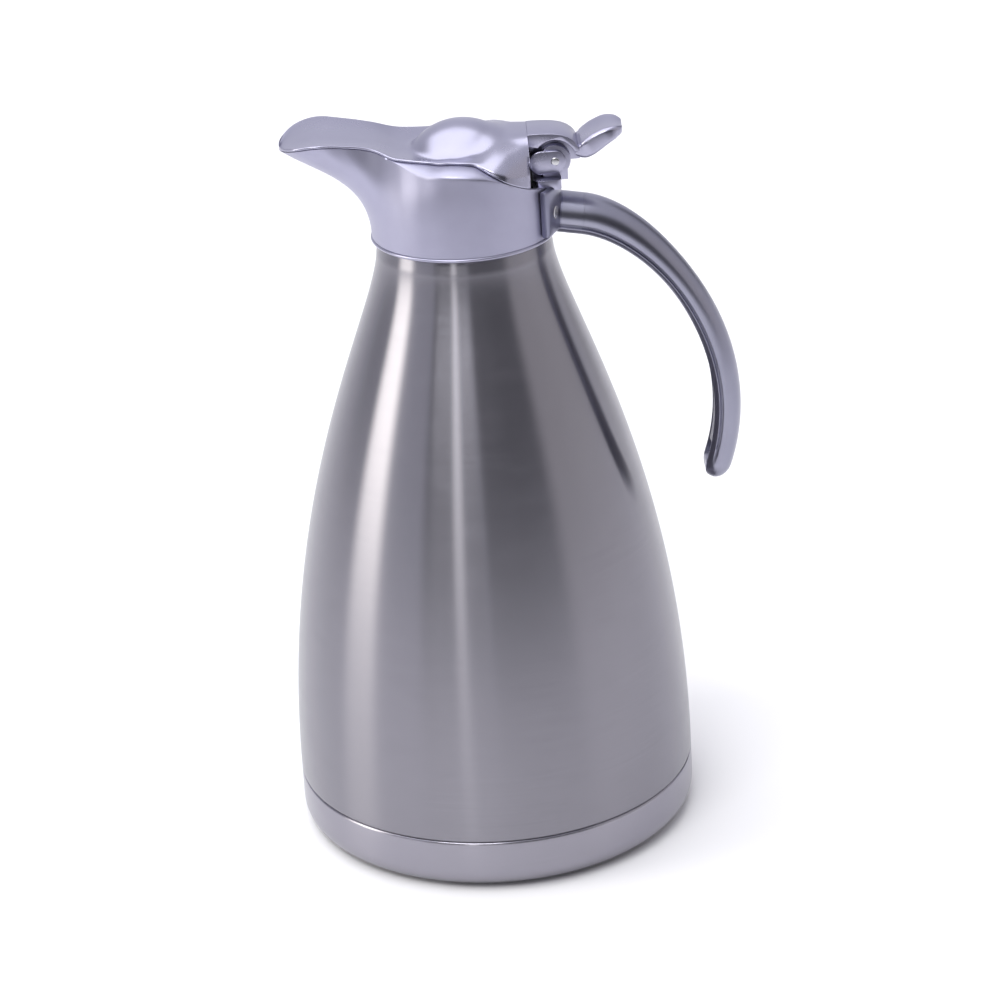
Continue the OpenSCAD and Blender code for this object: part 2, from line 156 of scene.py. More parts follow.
def polished(name, colour, dark, rough, wave=0.00002):
    """Polished chrome with faint buffing haze, soft ripple and a few hairline scuffs."""
    mat, n = material(name)
    b = n.bsdf
    b.inputs["Metallic"].default_value = 1.0
    haze = n.noise(n.coords((40, 40, 40)), 1.0, 4.0, 0.6)
    fine = n.noise(n.coords((700, 120, 700)), 1.0, 3.0, 0.6)
    ripple = n.noise(n.coords((55, 55, 55)), 1.0, 1.0, 0.4)
    n.link(n.mix_colour(n.span(haze, 0.0, 1.0), colour, dark), b.inputs["Base Color"])
    gloss = n.new("ShaderNodeMath", operation="ADD")
    n.link(n.span(haze, rough, rough + 0.05), gloss.inputs[0])
    n.link(n.span(fine, 0.0, 0.02, 0.55, 0.8), gloss.inputs[1])
    n.link(gloss.outputs[0], b.inputs["Roughness"])
    n.link(n.bump(ripple, wave), b.inputs["Normal"])
    return mat


def moulded(name, colour, dark, rough, grain=0.00003, scale=900, coat=0.0):
    """Moulded plastic, rubber or foam: fine grain and faint tone change."""
    mat, n = material(name)
    b = n.bsdf
    if coat:
        b.inputs["Coat Weight"].default_value = coat
        b.inputs["Coat Roughness"].default_value = 0.25
    tone = n.noise(n.coords((60, 60, 60)), 1.0, 4.0, 0.6)
    pits = n.noise(n.coords((scale, scale, scale)), 1.0, 2.0, 0.6)
    n.link(n.mix_colour(n.span(tone, 0.0, 1.0), colour, dark), b.inputs["Base Color"])
    n.link(n.span(pits, rough - 0.06, rough + 0.08), b.inputs["Roughness"])
    n.link(n.bump(pits, grain), b.inputs["Normal"])
    return mat


M = {
    "brushed_shell": brushed("brushed_shell", (0.262, 0.255, 0.287), (0.235, 0.228, 0.26), 0.24, anis=1.0,
                             depth=0.0000003),
    "brushed_cup": brushed("brushed_cup", (0.325, 0.315, 0.36), (0.29, 0.28, 0.325), 0.24, anis=0.9,
                           depth=0.0000003),
    "liner_steel": brushed("liner_steel", (0.74, 0.735, 0.73), (0.58, 0.575, 0.575), 0.3, anis=0.6),
    "plain_steel": brushed("plain_steel", (0.62, 0.62, 0.63), (0.48, 0.48, 0.5), 0.36, around=False,
                           anis=0.2),
    "screw_steel": polished("screw_steel", (0.62, 0.62, 0.64), (0.46, 0.46, 0.48), 0.24, 0.00001),
    "chrome": polished("chrome", (0.395, 0.39, 0.495), (0.36, 0.355, 0.46), 0.26),
    "satin_chrome": polished("satin_chrome", (0.40, 0.395, 0.51), (0.37, 0.365, 0.475), 0.40),
    # a darker copy of the chrome: painted shade for the bracket's saddle
    "painted_shade_chrome": polished("painted_shade_chrome", (0.25, 0.25, 0.33), (0.21, 0.21, 0.29), 0.26),
    "handle_chrome": polished("handle_chrome", (0.30, 0.30, 0.375), (0.26, 0.26, 0.33), 0.28),
    "handle_strip": moulded("handle_strip", (0.20, 0.195, 0.25), (0.15, 0.145, 0.19), 0.42, coat=0.2),
    "grey_plastic": moulded("grey_plastic", (0.075, 0.075, 0.085), (0.055, 0.055, 0.06), 0.5),
    "rubber": moulded("rubber", (0.025, 0.025, 0.028), (0.04, 0.04, 0.042), 0.7, 0.00005, 600),
    "silicone": moulded("silicone", (0.72, 0.72, 0.69), (0.64, 0.64, 0.61), 0.5, 0.00002, 500),
    "foam": moulded("foam", (0.88, 0.86, 0.76), (0.80, 0.77, 0.66), 0.9, 0.0002, 260),
    "foil": polished("foil", (0.88, 0.88, 0.89), (0.78, 0.78, 0.8), 0.14, 0.0002),
    "copper": polished("copper", (0.80, 0.42, 0.27), (0.60, 0.30, 0.20), 0.3, 0.00003),
    "getter_grey": moulded("getter_grey", (0.32, 0.32, 0.33), (0.24, 0.24, 0.25), 0.75, 0.00008, 700),
}
SLOT_OF = {s["node"]: s["material_slot"] for s in frame["record"]["subparts"]}
for name, obj in frame["nodes"].items():
    mat = M[SLOT_OF[name]]
    if obj.material_slots:
        for ms in obj.material_slots:
            ms.material = mat
    else:
        obj.data.materials.append(mat)


# ---------------------------------------------------------------- mesh helpers
def piece(name, verts, faces, body, node, mat=None, bevel=0.0, smooth_angle=None):
    """A mesh piece given in millimetres; it rides on a body and stands for a CAD node."""
    mesh = bpy.data.meshes.new(name)
    mesh.from_pydata([tuple(float(c) * MM for c in v) for v in verts], [], [tuple(f) for f in faces])
    mesh.validate()
    obj = bpy.data.objects.new(name, mesh)
    scene.collection.objects.link(obj)
    slot = SLOT_OF[node]
    mesh.materials.append(M[mat or slot])
    mesh.polygons.foreach_set("use_smooth", [True] * len(mesh.polygons))
    recalc(mesh)
    if bevel:
        mod = obj.modifiers.new("bevel", "BEVEL")
        mod.width = bevel * MM
        mod.segments = 3
        mod.limit_method = "ANGLE"
        mod.angle_limit = math.radians(32)
    if smooth_angle:
        mark_sharp(mesh, smooth_angle)
    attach(obj, body)
    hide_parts(node)
    return obj


def recalc(mesh):
    bm = bmesh.new()
    bm.from_mesh(mesh)
    bmesh.ops.remove_doubles(bm, verts=bm.verts, dist=1e-7)
    bmesh.ops.recalc_face_normals(bm, faces=bm.faces)
    bm.to_mesh(mesh)
    bm.free()
    mesh.polygons.foreach_set("use_smooth", [True] * len(mesh.polygons))


def mark_sharp(mesh, angle):
    bm = bmesh.new()
    bm.from_mesh(mesh)
    for e in bm.edges:
        if len(e.link_faces) == 2 and e.calc_face_angle(0) > math.radians(angle):
            e.smooth = False
    bm.to_mesh(mesh)
    bm.free()


def rounded(points, radius, steps=4, skip_axis=True):
    """A closed outline with its corners rounded. radius is one number or one for each point."""
    pts = [np.array(p, float) for p in points]
    n = len(pts)
    out = []
    for i, p in enumerate(pts):
        r = radius[i] if isinstance(radius, (list, tuple)) else radius
        a, c = pts[i - 1], pts[(i + 1) % n]
        u, v = a - p, c - p
        lu, lv = np.linalg.norm(u), np.linalg.norm(v)
        if r <= 0 or (skip_axis and abs(p[0]) < 1e-9) or lu < 1e-9 or lv < 1e-9:
            out.append(tuple(p))
            continue
        u, v = u / lu, v / lv
        cosang = float(np.clip(u @ v, -1, 1))
        if cosang < -0.9:
            out.append(tuple(p))
            continue
        ang = math.acos(cosang)
        cut = min(r / math.tan(ang / 2), 0.45 * lu, 0.45 * lv)
        rr = cut * math.tan(ang / 2)
        mid = (u + v) / np.linalg.norm(u + v)
        centre = p + mid * (rr / math.sin(ang / 2))
        s0 = p + u * cut - centre
        s1 = p + v * cut - centre
        a0 = math.atan2(s0[1], s0[0])
        a1 = math.atan2(s1[1], s1[0])
        d = (a1 - a0 + math.pi) % (2 * math.pi) - math.pi
        for k in range(steps + 1):
            t = a0 + d * k / steps
            out.append((centre[0] + rr * math.cos(t), centre[1] + rr * math.sin(t)))
    return out


def lathe(profile, segments=160, centre=(0, 0)):
    """Turns a closed outline of (radius, height) about Z."""
    verts, rings, faces = [], [], []
    for r, z in profile:
        if abs(r) < 1e-6:
            rings.append([len(verts)])
            verts.append((centre[0], centre[1], z))
        else:
            start = len(verts)
            for k in range(segments):
                a = 2 * math.pi * k / segments
                verts.append((centre[0] + r * math.cos(a), centre[1] + r * math.sin(a), z))
            rings.append(list(range(start, start + segments)))
    n = len(rings)
    for i in range(n):
        a, b = rings[i], rings[(i + 1) % n]
        if len(a) == 1 and len(b) == 1:
            continue
        for k in range(segments):
            k2 = (k + 1) % segments
            if len(a) == 1:
                faces.append((a[0], b[k], b[k2]))
            elif len(b) == 1:
                faces.append((a[k], b[0], a[k2]))
            else:
                faces.append((a[k], b[k], b[k2], a[k2]))
    return verts, faces


def loft(rings, wrap=False):
    """Joins closed rings of points. wrap joins the last ring to the first."""
    n = len(rings[0])
    verts = [tuple(p) for ring in rings for p in ring]
    faces = []
    m = len(rings)
    for j in range(m if wrap else m - 1):
        k = (j + 1) % m
        for i in range(n):
            i2 = (i + 1) % n
            faces.append((j * n + i, k * n + i, k * n + i2, j * n + i2))
    if not wrap:
        faces.append(tuple(range(n)))
        faces.append(tuple((m - 1) * n + i for i in reversed(range(n))))
    return verts, faces


def slab(outline, half, y0=0.0):
    """A closed outline in X and Z, given width along Y."""
    n = len(outline)
    verts = [(x, y0 - half, z) for x, z in outline] + [(x, y0 + half, z) for x, z in outline]
    faces = [tuple(range(n)), tuple(range(2 * n - 1, n - 1, -1))]
    faces += [(i, n + i, n + (i + 1) % n, (i + 1) % n) for i in range(n)]
    return verts, faces


def joined(*meshes):
    verts, faces = [], []
    for v, f in meshes:
        base = len(verts)
        verts += list(v)
        faces += [tuple(i + base for i in face) for face in f]
    return verts, faces


def moved(mesh, matrix):
    return [tuple(matrix @ Vector(v)) for v in mesh[0]], mesh[1]


def bez(a, b, c, d, t):
    a, b, c, d = (np.array(q, float) for q in (a, b, c, d))
    return a * (1 - t) ** 3 + 3 * b * t * (1 - t) ** 2 + 3 * c * t * t * (1 - t) + d * t ** 3


def mix(a, b, t):
    return a + (b - a) * t


def smooth(t):
    s = min(1.0, max(0.0, t))
    return s * s * (3 - 2 * s)


# ---------------------------------------------------------------- body
FOOT_R = 75
STEEL = 0.8
LINER_GAP = 7.8
NECK_FROM, NECK_R, NECK_SLOPE = 212, 35.3, 0.23


def body_point(t, inset=0.0):
    """Radius and height of the body's side. Below the collar it keeps a straight taper."""
    r, z = float(bez(FOOT_R, FOOT_R, 27.6, 32.4, t)), float(bez(21, 146.4, 210.6, 230.4, t))
    taper = NECK_R - NECK_SLOPE * (z - NECK_FROM) if z > NECK_FROM else r
    return min(r, taper) - inset, z


def body_curve(first, last, inset, count):
    return [body_point(mix(first, last, i / (count - 1)), inset) for i in range(count)]


NECK_TOP = 243.2
shell = (
    [(74.2, 20.78), (74.5, 20.9), (74.8, 21.2), (74.95, 21.6)]
    + [(r, max(z, 22.1)) for r, z in body_curve(0.004, 1, 0, 90)]
    + [(30.9, 230.9), (30.6, 231.0), (28.3, 231.0), (27.6, 231.3), (27.5, 231.8), (27.5, NECK_TOP),
       (26.7, NECK_TOP), (26.7, 231.5), (27.9, 230.2), (30.0, 230.2)]
    + body_curve(0.98, 0.002, STEEL, 60)
)
piece("outer_shell_skin", *lathe(shell, 224), "jug", "outer_shell", smooth_angle=40)

CORNER_X, CORNER_Z, CORNER_R = 67, 8.8, 8


def foot_corner(r, angles):
    """The rounded lower edge of the cup."""
    turns = [math.radians(a) for a in angles]
    return [(CORNER_X + r * math.cos(a), CORNER_Z + r * math.sin(a)) for a in turns]


cup = (
    [(0, 2.7), (62.3, 2.7), (62.9, 0.8)]
    + foot_corner(CORNER_R, range(-90, 1, 6))
    + [(FOOT_R, 19.5), (74.93, 19.95), (74.75, 20.35), (74.45, 20.6), (74.1, 20.66)]
    + [(74.1, 25.6), (73.3, 25.6), (73.3, 19.6), (74.2, 18.6)]
    + foot_corner(CORNER_R - STEEL, range(0, -91, -9))
    + [(63.6, 1.6), (63.0, 3.5), (0, 3.5)]
)
piece("base_cup_skin", *lathe(cup, 224), "jug", "base_cup", mat="brushed_cup", smooth_angle=40)

pad = rounded([(0, 0), (61, 0), (62, 0.8), (62, 2.6), (0, 2.6)], 0.3)
grooves = []
for r in (20, 34, 48):
    grooves += [(r - 1.2, 0), (r - 0.8, 0.5), (r + 0.8, 0.5), (r + 1.2, 0)]
pad = [(0, 0)] + grooves + pad[1:]
piece("base_pad_moulding", *lathe(pad, 128), "jug", "base_pad", smooth_angle=30)

# inner bottle
side = body_point(3 / 40, LINER_GAP)
liner = (
    [tuple(bez((0, 17), (58, 17), (side[0] + 0.5, 23), side, i / 16)) for i in range(17)]
    + body_curve(4 / 40, 38 / 40, LINER_GAP, 60)
    + [(24.6, 230.4), (24.6, 243.2), (27.5, 243.25), (27.5, 244.05), (24.1, 244.05), (23.8, 243.75)]
    + [(23.8, 230.4)]
    + body_curve(38 / 40, 4 / 40, LINER_GAP + STEEL, 60)
    + [tuple(bez((0, 17.8), (57.5, 17.8), (side[0] - 0.4, 23.4), (side[0] - 0.8, side[1]), i / 16))
       for i in range(16, -1, -1)]
)
piece("inner_bottle", *lathe(liner, 128), "jug", "inner_liner", smooth_angle=50)

# threaded ring under the collar
thread = []
for z in (235, 238, 241):
    thread += [(28.6, z - 0.3), (27.65, z), (27.65, z + 1.1), (28.6, z + 1.4)]
ring = rounded([(30.1, 232.5), (30.1, 247.4), (23.5, 247.4), (23.5, 245.7), (28.6, 245.7)],
               [0.3, 0.3, 0.5, 0.2, 0.3])
piece("neck_ring_moulding", *lathe(ring + list(reversed(thread)) + [(28.6, 232.5)], 128), "jug", "neck_ring",
      smooth_angle=35)
piece("neck_gasket_ring", *lathe(rounded([(24, 244.1), (27.5, 244.1), (27.5, 245.6), (24, 245.6)], 0.4), 96),
      "jug", "neck_gasket")
bead = [(28.4, 231.05), (32.4, 231.05)]
bead += [(33.0 + 0.65 * math.cos(math.radians(a)), 231.7 + 0.65 * math.sin(math.radians(a)))
         for a in range(-110, 111, 12)]
bead += [(32.4, 232.35), (28.4, 232.35)]
piece("trim_bead", *lathe(bead, 224), "jug", "collar_trim_ring", smooth_angle=60)

# ---------------------------------------------------------------- collar and spout
RIM_HALF = [
    (33, 0, 250.6, 0), (29.9, 13.9, 251.4, 25), (21.2, 25.3, 255.6, 50), (8.5, 31.9, 262.5, 75),
    (-4.6, 31.6, 264, 98), (-13.8, 26.8, 263.3, 116), (-22.3, 20, 266.1, 130), (-31, 16.4, 269.7, 141),
    (-41.5, 17, 271.6, 150), (-50.5, 18.2, 272.4, 158), (-58, 15.6, 271.1, 166), (-62.6, 8.6, 269.3, 173.5),
    (-64, 0, 268.6, 180),
]


def knot(k, s):
    a = math.radians(k[3])
    return np.array([k[0], s * k[1], k[2], math.cos(a), s * math.sin(a)])


def loop_at(k, i, t):
    n = len(k)
    a, b, c, d = k[i - 1], k[i], k[(i + 1) % n], k[(i + 2) % n]
    square = (2 * a - 5 * b + 4 * c - d) * t * t / 2
    cube = (3 * b - a - 3 * c + d) * t ** 3 / 2
    return b + (c - a) * t / 2 + square + cube


KNOTS = [knot(k, 1) for k in RIM_HALF] + [knot(k, -1) for k in RIM_HALF[-2:0:-1]]
RIM = np.array([loop_at(KNOTS, i, s / 10) for i in range(len(KNOTS)) for s in range(10)])
# the knots' small steps are smoothed out, a little, around the loop
for _ in range(6):
    RIM[:, 2] = 0.5 * RIM[:, 2] + 0.25 * (np.roll(RIM[:, 2], 1) + np.roll(RIM[:, 2], -1))
RN = len(RIM)
nxt, prv = np.roll(RIM, -1, axis=0), np.roll(RIM, 1, axis=0)
OUT = np.stack([(nxt - prv)[:, 1], -(nxt - prv)[:, 0]], axis=1)
OUT /= np.linalg.norm(OUT, axis=1)[:, None]
EDGE = 1.15
COLLAR_WALL = 2.4


def ramp(x, a, b):
    s = np.clip((x - a) / (b - a), 0, 1)
    return s * s * (3 - 2 * s)


# beside the dome the collar rounds over in a shoulder, and the cover is that much narrower
RIM_X = RIM[:, 0].copy()
WALL_TOP = RIM[:, 0:2].copy()
TURN = ramp(RIM_X, -25, -13) * (1 - ramp(RIM_X, 5, 17))
SHOULDER = 6.5 * TURN
WALL_Z = RIM[:, 2] - EDGE - 1.3 * TURN
RIM[:, 0:2] -= OUT * SHOULDER[:, None]
RIM[:, 2] += 1.7 * TURN


def collar_ring(v, inset):
    """Ring of the collar's wall at rise v up to the foot of the shoulder."""
    foot = RIM[:, 3:5] * (33.2 - inset)
    wall = WALL_TOP - OUT * inset
    pull = wall + (foot - wall) * 0.41
    w = ((1 - v) ** 3, 3 * v * (1 - v) ** 2, 3 * v * v * (1 - v), v ** 3)
    xy = foot * (w[0] + w[1]) + pull * w[2] + wall * w[3]
    z = 232.45 * w[0] + 254.4 * w[1] + (WALL_Z - 9.6 + 2.2 * TURN) * w[2] + WALL_Z * w[3]
    return [(x, y, h) for (x, y), h in zip(xy, z)]


def shoulder_ring(deg, inset, drop=0.0):
    """Ring of the shoulder, which turns from upright to nearly flat beside the dome."""
    a = math.radians(deg)
    into = (1 - math.cos(a)) / (1 - math.cos(math.radians(80)))
    up = math.sin(a) / math.sin(math.radians(80))
    xy = WALL_TOP - OUT * (inset + SHOULDER * into)[:, None]
    z = WALL_Z + (RIM[:, 2] - EDGE - WALL_Z) * up - drop
    return [(x, y, h) for (x, y), h in zip(xy, z)]


VS = [i / 26 for i in range(27)]
BEND = [8 * k for k in range(1, 11)]
collar = [collar_ring(v, 0) for v in VS] + [shoulder_ring(b, 0) for b in BEND]
collar += [shoulder_ring(80, q, d) for q, d in ((0.25, -0.12), (0.7, -0.16), (1.7, -0.16), (2.15, -0.1))]
collar += [shoulder_ring(b, COLLAR_WALL) for b in reversed(BEND)]
collar += [collar_ring(v, COLLAR_WALL) for v in reversed(VS)]
piece("spout_collar_shell", *loft(collar, wrap=True), "jug", "spout_collar", mat="satin_chrome",
      smooth_angle=50)


# ---------------------------------------------------------------- lid
order = np.argsort(RIM[: RN // 2 + 1, 0])
RX, RY, RZ = (RIM[: RN // 2 + 1, c][order] for c in (0, 1, 2))
RX = np.maximum.accumulate(RX)


def soft_max(a, b, k):
    h = np.clip(0.5 + 0.5 * (a - b) / k, 0, 1)
    return b + (a - b) * h + k * h * (1 - h)


DOME_R = (18.5 ** 2 + 9.5 ** 2) / (2 * 9.5)


def lid_height(x, half, edge_z, u):
    """Height of the cover at x and at fraction u of the way from the middle to its edge."""
    u = np.clip(np.abs(u), 0, 1)
    dish = mix(0.9, 1.6, ramp(x, -32, -10))
    rise = ramp(x, -3, 14)
    low = edge_z - dish * (1 - u ** 3.2)
    high = edge_z + (268.6 - edge_z) * (1 - u ** 2.3) ** 0.55
    base = low + (high - low) * rise
    y = u * half
    deck = 268.75 - 0.4 * (y / 8.5) ** 4 - 5 * (1 - ramp(x, 6, 20))
    base = soft_max(base, np.where(y < 12, deck, 240.0), 1.2) if x > 6 else base
    d = np.minimum(np.hypot(x - 1, u * half), 21.5)
    dome = 263.8 + 9.5 - DOME_R + np.sqrt(DOME_R ** 2 - d ** 2)
    return soft_max(base, dome, mix(1.6, 4.2, ramp(x, -2, 12)))


CROSS = np.sin(np.linspace(-math.pi / 2, math.pi / 2, 57))
NOSE = [-64 + 88.6 * (1 - math.cos(math.pi / 2 * k / 118)) for k in range(1, 119)]
cover = []
for x in [-63.985] + NOSE:
    half = float(np.interp(x, RX, RY))
    z = float(np.interp(x, RX, RZ))
    e = min(0.35, 0.3 * half)
    h = lid_height(x, half, z, CROSS)
    top = [(x, (half - e) * c, hz) for c, hz in zip(CROSS, h)]
    right = [(x, half - 0.29 * e, z - 0.1), (x, half, z - 0.35), (x, half, z - 0.65),
             (x, half - 0.29 * e, z - 0.85)]
    left = [(x, -q[1], q[2]) for q in reversed(right)]
    under = np.maximum(z - 0.95, lid_height(x, half, z, 1.16 * CROSS) - 2)
    under = np.minimum(under, h - 0.8)
    under[[0, -1]] = z - 0.95
    low = [(x, (half - 1.4 * e) * c, hz) for c, hz in zip(CROSS, under)]
    cover.append(top + right + list(reversed(low)) + left)
# a rear wall on each side of the hinge closes the cover down to the bracket's deck
WALL_X, WALL_FOOT, WALL_THICK = 23.9, 253.5, 0.8
wall_half, wall_z = float(np.interp(WALL_X, RX, RY)), float(np.interp(WALL_X, RX, RZ))
ACROSS = np.linspace(8.9, 18.8, 12)
wall_top = lid_height(WALL_X, wall_half, wall_z, ACROSS / wall_half) - 1.0
rear_walls = []
for s in (-1, 1):
    face = [(s * y, z) for y, z in zip(ACROSS, wall_top)]
    face += [(s * ACROSS[-1], WALL_FOOT), (s * ACROSS[0], WALL_FOOT)]
    rear_walls.append(loft([[(x, y, z) for y, z in face] for x in (WALL_X, WALL_X + WALL_THICK)]))
piece("lid_cover_shell", *joined(loft(cover), *rear_walls), "lid", "lid_cover", smooth_angle=55)

# the hinge axis, along Y
HX, HZ = 34.0, 258.5
HINGE_SEGMENTS = 48


def arc(r, a0, a1, n=16, cx=0.0, cz=0.0):
    turns = [math.radians(mix(a0, a1, i / n)) for i in range(n + 1)]
    return [(cx + r * math.cos(a), cz + r * math.sin(a)) for a in turns]


def at_hinge(outline):
    return [(HX + x, HZ + z) for x, z in outline]


def bar(r, y0, y1, edge):
    """A bar along Y through the hinge, its ends rounded."""
    prof = rounded([(0, y0), (r, y0), (r, y1), (0, y1)], [0, edge, edge, 0], 3)
    v, f = lathe(prof, HINGE_SEGMENTS)
    return [(HX + x, z, HZ + y) for x, y, z in v], f


def tube(r_in, r_out, y0, y1):
    """A tube along Y around the hinge."""
    prof = rounded([(r_in, y0), (r_out, y0), (r_out, y1), (r_in, y1)], 0.2, 3, skip_axis=False)
    v, f = lathe(prof, HINGE_SEGMENTS)
    return [(HX + x, z, HZ + y) for x, y, z in v], f


def dense(points, steps=5):
    pts = [np.array(p, float) for p in points]
    out = []
    for i in range(len(pts) - 1):
        a, b = pts[max(i - 1, 0)], pts[i]
        c, d = pts[i + 1], pts[min(i + 2, len(pts) - 1)]
        for s in range(steps):
            t = s / steps
            out.append(tuple(b + (c - a) * t / 2 + (2 * a - 5 * b + 4 * c - d) * t * t / 2
                             + (3 * b - a - 3 * c + d) * t ** 3 / 2))
    out.append(tuple(pts[-1]))
    return out


# knuckle: web around the pin, hood over the ears, tongue under the cover
hood_line = [(-9.4, 10.15), (-6, 10.2), (-3, 10.1), (0, 9.85), (3, 9.2), (5.4, 8.1), (7.4, 6.4),
             (8.6, 4.4), (9.1, 3.1)]
hood = dense(hood_line, 4) + arc(7.7, 22, 140, 24) + [(-9.4, 5.6)]
web = [(-9.4, 0), (-9.4, 10.0), (-6, 10.0), (-3, 9.75)] + arc(9.1, 88, -6, 26) + arc(5.2, -12, -180, 22)
web_ring = slab(at_hinge(web), 4.55)
tongue = slab([(14, 262.9), (25, 262.9), (25, 265.5), (14, 265.5)], 6)
piece("lid_knuckle_hood", *joined(slab(at_hinge(hood), 8.5), web_ring, tongue), "lid", "lid_knuckle",
      bevel=0.45)

# thumb lever: a curved paddle, thick at the hinge and thin at its round end
LEVER_MID = [(41.4, 2.5, 1.6), (42.0, 2.5, 3.6), (43.2, 2.7, 5.2), (44.8, 3.2, 6.2), (46.8, 4.4, 6.6),
             (49.2, 6.0, 6.6), (52.6, 7.9, 5.8), (55.6, 8.75, 4.7), (57.4, 8.85, 3.6), (58.6, 8.8, 2.4)]


def dense3(points, steps):
    xz = dense([(p[0], p[1]) for p in points], steps)
    th = np.interp(np.linspace(0, len(points) - 1, len(xz)), range(len(points)), [p[2] for p in points])
    return [(x, z, t) for (x, z), t in zip(xz, th)]


def paddle_section(half, thick, lip):
    """Rounded section of the paddle: across, up. The top face is slightly dished."""
    r = min(1.5, 0.42 * thick)
    out = []
    for sy, sz, a0 in ((1, 1, 0), (-1, 1, 90), (-1, -1, 180), (1, -1, 270)):
        cy, cz = sy * (half - r), sz * (thick / 2 - r)
        out += [(cy + r * math.cos(math.radians(a0 + 15 * k)), cz + r * math.sin(math.radians(a0 + 15 * k)))
                for k in range(7)]
        if a0 == 0:
            out += [(half * q, thick / 2 - lip * (1 - (q / 0.84) ** 2)) for q in (0.6, 0.3, 0, -0.3, -0.6)]
    return out


mid = dense3(LEVER_MID, 6)
lever_rings = []
for k, (x, z, thick) in enumerate(mid):
    a, b = mid[max(k - 1, 0)], mid[min(k + 1, len(mid) - 1)]
    d = np.array([b[0] - a[0], b[1] - a[1]])
    d /= np.linalg.norm(d)
    up = (-d[1], d[0])
    q = np.clip((x - 52.4) / 6.3, 0, 1)
    half = 9.5 - 6.3 + 6.3 * math.sqrt(max(0.0, 1 - float(q) ** 2)) - 1.4 * (1 - smooth((x - 41) / 6))
    thick = min(thick, 2 * (58.75 - x) ** 0.5 * 2.2 + 0.6)
    lip = 0.55 * float(ramp(np.array(x), 45, 50))
    lever_rings.append([(x + up[0] * h, y, HZ + z + up[1] * h) for y, h in paddle_section(half, thick, lip)])
piece("thumb_paddle", *loft(lever_rings), "lid", "thumb_lever", smooth_angle=50)

# ---------------------------------------------------------------- handle
HA, HB, HC, HD = (43, 235.2), (69.4, 230.6), (108.2, 179.4), (86.4, 129.6)


def handle_frame(t):
    if t < 0:
        p, q = bez(HA, HB, HC, HD, 0), bez(HA, HB, HC, HD, 0.001)
        d = (q - p) / np.linalg.norm(q - p)
        p = p + d * t
    else:
        p = bez(HA, HB, HC, HD, t)
        q = bez(HA, HB, HC, HD, min(1, t + 0.001)) - bez(HA, HB, HC, HD, max(0, t - 0.001))
        d = q / np.linalg.norm(q)
    return p, np.array([-d[1], d[0]])


def handle_close(t):
    return math.sqrt(max(0.004, 1 - max(0, (t - 0.955) / 0.045) ** 2))


def handle_size(t):
    s = max(0.0, t)
    return mix(7.6, 5.5, smooth(s / 0.45)) * handle_close(s), mix(9, 7.4, smooth(s)) * handle_close(s)


def handle_at(t, a, b):
    p, n = handle_frame(t)
    return (p[0] + n[0] * a, b, p[1] + n[1] * a)


ANGLES = list(range(0, 101, 7)) + [104, 107, 109, 111, 114, 117, 119, 121, 125, 130, 135, 140]


def groove(angle):
    return 0.9 if 109 <= angle <= 117 else (0.985 if angle in (107, 119) else 1.0)


def handle_ring(t, channel=True):
    thick, wide = handle_size(t)
    fade = 1 - smooth((t - 0.9) / 0.05)
    half = []
    for a in ANGLES:
        k = mix(1.0, groove(a), fade)
        turn = math.radians(a)
        half.append((thick * math.cos(turn) * (1.0 if a < 104 else k), wide * math.sin(turn) * k))
    pts = [(a, -b) for a, b in reversed(half[1:])] + half
    slot = min(4.4, 0.6 * wide)
    lip = -0.82 * thick
    open_ = (1 - smooth((t - 0.935) / 0.03)) if channel else 0
    deep = mix(lip + 0.1, 1.9, open_)
    pts += [(lip, slot + 0.25), (lip + 0.25 * open_, slot), (deep, slot)]
    pts += [(deep, -slot), (lip + 0.25 * open_, -slot), (lip, -slot - 0.25)]
    return [handle_at(t, a, b) for a, b in pts]


# even steps along the handle, then closer ones round its tip
TIP_FROM, TIP_SHARE = 0.955, 0.045
TS = [TIP_FROM * k / 70 for k in range(71)]
TS += [TIP_FROM + TIP_SHARE * math.sin(math.pi / 2 * k / 14) for k in range(1, 15)]
piece("handle_shell_tube", *loft([handle_ring(t) for t in TS]), "jug", "handle_shell", mat="handle_chrome",
      smooth_angle=40)
strip = []
for k in range(60):
    t = 0.012 + 0.905 * k / 59
    thick, wide = handle_size(t)
    low = -0.76 * thick
    section = [(low + 0.5, -4.2), (-0.8, -4.2), (-0.8, 4.2), (low + 0.5, 4.2), (low + 0.12, 3.9),
               (low, 3.2), (low + 0.35, 1.2), (low + 0.35, -1.2), (low, -3.2), (low + 0.12, -3.9)]
    strip.append([handle_at(t, a, b) for a, b in section])
piece("handle_strip_insert", *loft(strip), "jug", "handle_insert", smooth_angle=35)

# ---------------------------------------------------------------- hinge bracket
SADDLE_IN, SADDLE_OUT, SADDLE_FOOT, SADDLE_TOP = 33.5, 36, 233.5, 250.3
SADDLE_STEPS = 40
saddle = []
prof = rounded([(SADDLE_IN, SADDLE_FOOT), (SADDLE_OUT, SADDLE_FOOT), (SADDLE_OUT, SADDLE_TOP),
                (SADDLE_IN, SADDLE_TOP)], [0.1, 0.8, 0.8, 0.1], 4, skip_axis=False)
for k in range(SADDLE_STEPS + 1):
    a = math.radians(-34 + 68 * k / SADDLE_STEPS)
    edge = 0.35 if k in (0, SADDLE_STEPS) else 0.0
    eased = [(r - edge if r > 35 else r, z) for r, z in prof]
    saddle.append([(r * math.cos(a), r * math.sin(a), z) for r, z in eased])
root = [[(x, y, z) for x, y, z in handle_ring(-t, False)] for t in (11.9, 11.7, 10, 8, 6, 4, 2, 0.1, 0.04)]
EAR_R, EAR_HALF, EAR_AT = 5.6, 1.65, 6.55
ears = []
for s in (-1, 1):
    ear = arc(EAR_R, -38, 218, 30) + [(-4.4, -7.2), (4.4, -7.2)]
    ears.append(slab(at_hinge(ear), EAR_HALF, s * EAR_AT))
